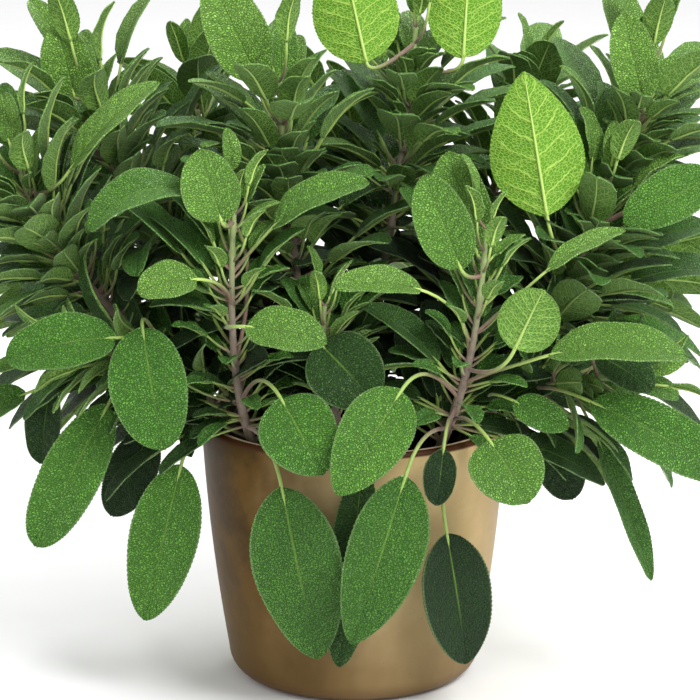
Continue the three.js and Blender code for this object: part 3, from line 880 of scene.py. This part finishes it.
FINE_BLADE = blade_master("fine_blade", 16, 96, 0.34)
MIDDLE_BLADE = blade_master("middle_blade", 10, 40, 0.25)
SMALL_BLADE = blade_master("small_blade", 4, 8, 0.0)
COARSE_BLADE = blade_master("coarse_blade", 2, 5, 0.0)
FINE_ROD = rod_master("fine_rod", 8, 26)
SMALL_ROD = rod_master("small_rod", 5, 9)
STEM_ROD = rod_master("stem_rod", 10, 60)
MASTERS = (FINE_BLADE, MIDDLE_BLADE, SMALL_BLADE, COARSE_BLADE, FINE_ROD, SMALL_ROD, STEM_ROD)


def linked(name, mesh):
    thing = bpy.data.objects.new(name, mesh)
    bpy.context.collection.objects.link(thing)
    return thing


def finished_leaves(name, blades, rods, under):
    """Joins blades, gives them their thickness and underside, and adds stalks and ribs."""
    parts = [linked(f"{name}_{i}", mesh) for i, mesh in enumerate(blades)]
    pick(*parts)
    if len(parts) > 1:
        bpy.ops.object.join()
    piece = parts[0]
    rename(piece, name)
    piece.data.materials.clear()
    for material in (UPPER, under, STALK, BARK):
        piece.data.materials.append(material)
    apply_modifier(piece, "SOLIDIFY", thickness=LEAF_THICKNESS * MM, offset=-1.0, material_offset=1,
                   use_even_offset=False)
    extra = []
    for number, (mesh, index) in enumerate(rods):
        mesh.materials.clear()
        for material in (UPPER, under, STALK, BARK):
            mesh.materials.append(material)
        mesh.polygons.foreach_set("material_index", [index] * len(mesh.polygons))
        extra.append(linked(f"{name}_rod_{number}", mesh))
    pick(piece, *extra)
    bpy.ops.object.join()
    smooth(piece, 50)
    return piece


class Room:
    """Keeps a coarse blade of every leaf, so that a new one can be asked whether it stands clear."""

    def __init__(self):
        self.taken = []

    def coarse(self, blade, face, width):
        mesh = laid_blade(COARSE_BLADE, blade, face, width * 1.02, 0)
        corners = [vertex.co.copy() for vertex in mesh.vertices]
        faces = [tuple(face.vertices) for face in mesh.polygons]
        bpy.data.meshes.remove(mesh)
        centre = sum(corners, Vector()) / len(corners)
        reach = max((corner - centre).length for corner in corners)
        return BVHTree.FromPolygons(corners, faces), centre, reach, corners

    def clear(self, item):
        tree, centre, reach, corners = item
        for other, middle, span, _ in self.taken:
            if (centre - middle).length < reach + span and tree.overlap(other):
                return False
        for corner in corners:
            if math.hypot(corner.x, corner.y) < POT_SPACE_RADIUS and corner.z < POT_SPACE_TOP:
                return False
        low, high = cad_box
        return all(low[k] - BOX_SLACK < corner[k] < high[k] + BOX_SLACK
                   for k in range(3) for corner in corners)

    def take(self, item):
        self.taken.append(item)


ROOM = Room()


def stalk_start(stem, place, base, tip, face, bow):
    points = stem_points(stem)
    root, way = bezier3(points, place), bezier3_way(points, place)
    lead = leaf_curves(root, base, tip, face, bow)[0][1] - root
    aside = (lead - way * lead.dot(way)).normalized()
    return root + aside * (stem_radius(place) * 0.4)


def make_large_leaf(name, stem, place, base, tip, face, width, bow, chance):
    base, tip, face = vec(base), vec(tip), vec(face)
    start = stalk_start(stem, place, base, tip, face, bow)
    stalk, blade = leaf_curves(start, base, tip, face, bow)
    tone = lit_tone(LEAF_TONES.get(name, LEAF_TONE) + chance.uniform(-0.04, 0.04), tip)
    mesh = laid_blade(FINE_BLADE, blade, face, width, tone, chance.uniform(0.3, 0.7),
                      chance.uniform(-0.05, 0.02), POINTED.get(name, 0), chance.uniform(-0.07, 0.07))
    rib = stalk_and_rib(FINE_ROD, stalk, blade, face, width, tone)
    under = LIT_UNDER if name in BACK_LIT else UNDER
    piece = finished_leaves(f"sage_leaf_{name}", [mesh], [(rib, 2)], under)
    own(piece, "sage_leaf", f"leaf_{name}")
    ROOM.take(ROOM.coarse(blade, face, width))


def grown_leaf(points, place, turn, spread, length, stalk, drop):
    """Root, blade base, tip and face of a leaf that leans out from its stem, its tip dropped."""
    root, way = bezier3(points, place), bezier3_way(points, place)
    out = Matrix.Rotation(turn, 3, way) @ UP.cross(way).normalized()
    lean = way * math.cos(spread) + out * math.sin(spread)
    face = way * math.sin(spread) - out * math.cos(spread)
    base = root + lean * (length * stalk)
    return root, base, base + lean * length - UP * drop, face


def paired_leaves(name):
    """The crossed pairs that grow along a stem: root, base, tip, face, width, bow, tone."""
    pairs, first, last, longest, shortest = PAIRS[name]
    points = stem_points(name)
    leaves = []
    for pair in range(pairs):
        share = pair / (pairs - 1)
        place = first + (last - first) * share
        length = longest + (shortest - longest) * share
        spread = math.radians(PAIR_SPREAD_LOW + (PAIR_SPREAD_TIP - PAIR_SPREAD_LOW) * share)
        drop = PAIR_DROOP * length * (1 - share)
        tone = PAIR_TONE + PAIR_TONE_RISE * share
        for half in range(2):
            turn = math.pi / 2 * pair + math.pi * half + PAIR_FIRST_TURN
            grown = grown_leaf(points, place, turn, spread, length, PAIR_STALK, drop)
            leaves.append((*grown, length * PAIR_WIDTH, length * SMALL_BOW, tone))
    return leaves


def spray_leaves(name):
    """The long-stalked leaves that wind up a stem, told in the same way; some stems have none."""
    count, first, longest, shortest = SPRAYS.get(name, (0, 0, 0, 0))
    points = stem_points(name)
    leaves = []
    for number in range(count):
        share = number / (count - 1)
        place = first + (1 - first) * share
        length = longest + (shortest - longest) * share
        spread = math.radians(SPRAY_SPREAD_LOW + (SPRAY_SPREAD_TIP - SPRAY_SPREAD_LOW) * share)
        drop = SPRAY_DROOP * length * (1.2 - share)
        tone = SPRAY_TONE + SPRAY_TONE_RISE * share
        grown = grown_leaf(points, place, SPRAY_TURN * number, spread, length, SPRAY_STALK, drop)
        leaves.append((*grown, length * SPRAY_WIDTH, length * SPRAY_BOW, tone))
    return leaves


def filling_leaf(name, longest, chance):
    """One leaf that fills in between the pairs, darker the lower it grows: partly as an older leaf, partly
    as painted shade deep in the bush.
    """
    place = chance.uniform(0.1, 0.9)
    length = chance.uniform(0.65, 1) * longest * (1.1 - 0.35 * place)
    spread = math.radians(chance.uniform(50, 95) * (1.1 - 0.5 * place))
    turn = chance.uniform(0, 2 * math.pi)
    stalk = chance.uniform(0.25, 0.8)
    drop = chance.uniform(0.1, 0.55) * length * (1.1 - place)
    grown = grown_leaf(stem_points(name), place, turn, spread, length, stalk, drop)
    # darker low down: partly older leaves, partly painted shade deep in the bush
    tone = 0.05 + 0.6 * place * place + chance.uniform(-0.1, 0.1)
    return (*grown, length * chance.uniform(0.42, 0.54), length * SMALL_BOW, tone)


def keep_lit_leaves_open():
    """Space is held free in front of each back-lit leaf."""
    for name in BACK_LIT:
        stem, place, base, tip, face, width, bow = LEAVES[name]
        for ahead in LIT_SPACE:
            near, far = vec(base) - Vector((0, ahead, 0)), vec(tip) - Vector((0, ahead, 0))
            start = stalk_start(stem, place, near, far, vec(face), bow)
            _, blade = leaf_curves(start, near, far, vec(face), bow)
            ROOM.take(ROOM.coarse(blade, vec(face), width))


def coarse_leaf(leaf):
    root, base, tip, face, width, bow, _ = leaf
    return ROOM.coarse(leaf_curves(root, base, tip, face, bow)[1], face, width)


def settled(wanted):
    """Those of the wanted leaves that find clear places, in turn."""
    leaves = []
    for leaf in wanted:
        item = coarse_leaf(leaf)
        if ROOM.clear(item):
            ROOM.take(item)
            leaves.append(leaf)
    return leaves


def settled_filling(name, count, longest, chance):
    """Leaves of up to one length that find clear places round a stem."""
    leaves = []
    for _ in range(count):
        for _ in range(FILLING_TRIES):
            leaf = filling_leaf(name, longest, chance)
            item = coarse_leaf(leaf)
            fits = (min(corner.y for corner in item[3]) > FILL_FRONT * MM
                    and min(corner.z for corner in item[3]) > FILL_LOW * MM)
            if fits and ROOM.clear(item):
                ROOM.take(item)
                leaves.append(leaf)
                break
    return leaves


def make_shoot(name, side, small, chance):
    """A stem with all its smaller leaves, as one grown piece."""
    blades, rods = [], []
    for group, blade_kind, rod_kind in ((side, MIDDLE_BLADE, FINE_ROD), (small, SMALL_BLADE, SMALL_ROD)):
        for root, base, tip, face, width, bow, tone in group:
            stalk, blade = leaf_curves(root, base, tip, face, bow)
            tone = lit_tone(tone, tip)
            blades.append(laid_blade(blade_kind, blade, face, width, tone, chance.uniform(0, 0.5),
                                     chance.uniform(-0.1, 0.1), chance.uniform(-0.04, 0.1),
                                     chance.uniform(-0.08, 0.08)))
            rods.append((stalk_and_rib(rod_kind, stalk, blade, face, width, tone), 2))
    pairs, first, last, _, _ = PAIRS[name]
    knots = [first + (last - first) * i / (pairs - 1) for i in range(pairs)]
    rods.append((stem_rod(STEM_ROD, name, knots), 3))
    piece = finished_leaves(f"sage_shoot_{name}", blades, rods, UNDER)
    own(piece, "sage_shoot", f"shoot_{name}")


def make_plant():
    chance = random.Random(PLANT_SEED)
    for name, leaf in LEAVES.items():
        make_large_leaf(name, *leaf, chance)
    keep_lit_leaves_open()
    side = {name: settled(spray_leaves(name)) for name in STEMS}
    small = {name: settled(paired_leaves(name)) for name in STEMS}
    for longest, count, front_count in FILLING:
        for name in STEMS:
            wanted = front_count if name in FRONT_STEMS else count
            small[name] += settled_filling(name, wanted, longest, chance)
    for name in STEMS:
        make_shoot(name, side[name], small[name], chance)
    for master in MASTERS:
        bpy.data.objects.remove(master)


# ---- studio ----
CAMERA_TILT = math.radians(13.5)
CAMERA_REACH = 1.8
VIEW_WIDTH = 0.3423
VIEW_CENTRE = Vector((-0.0019, 0, 0.163))
FILM_WIDTH = 36
LIGHT_AIM = Vector((0, 0, 0.18))
WORLD_STRENGTH = 0.92


def make_camera():
    data = bpy.data.cameras.new("camera")
    data.sensor_width = FILM_WIDTH
    data.lens = FILM_WIDTH * CAMERA_REACH / VIEW_WIDTH
    data.clip_end = 20
    camera = bpy.data.objects.new("camera", data)
    bpy.context.collection.objects.link(camera)
    camera.location = VIEW_CENTRE + CAMERA_REACH * Vector((0, -math.cos(CAMERA_TILT), math.sin(CAMERA_TILT)))
    camera.rotation_euler = (math.radians(90) - CAMERA_TILT, 0, 0)
    bpy.context.scene.camera = camera


def make_light(name, place, size, power, colour=(1, 1, 1)):
    data = bpy.data.lights.new(name, "AREA")
    data.shape = "DISK"
    data.size = size
    data.energy = power
    data.color = colour
    lamp = bpy.data.objects.new(name, data)
    bpy.context.collection.objects.link(lamp)
    lamp.location = place
    way = LIGHT_AIM - Vector(place)
    lamp.rotation_euler = way.to_track_quat("-Z", "Y").to_euler()


def make_studio():
    deselect_all()
    bpy.ops.mesh.primitive_plane_add(size=12, location=(0, 2, 0))
    floor = bpy.context.active_object
    rename(floor, "floor")
    paper = new_material("white_paper")
    sheet = Sheet(paper.node_tree)
    grain = sheet.noise(40.0, 2.0)
    shade = sheet.mix(grain, (0.92, 0.92, 0.92, 1), (0.95, 0.95, 0.95, 1))
    shader(sheet, shade, 0.9, grain, 0.02, 0.001)
    floor.data.materials.append(paper)
    world = bpy.data.worlds.new("studio")
    bpy.context.scene.world = world
    world.use_nodes = True
    sky = world.node_tree.nodes["Background"]
    sky.inputs[0].default_value = (1, 1, 1, 1)
    sky.inputs[1].default_value = WORLD_STRENGTH
    make_light("key", (0.75, -1.0, 1.25), 0.8, 25)
    make_light("back", (0.3, 1.2, 1.4), 0.7, 14)
    bpy.context.scene.view_settings.view_transform = "Standard"


make_pot()
make_soil()
make_plant()
make_studio()
make_camera()
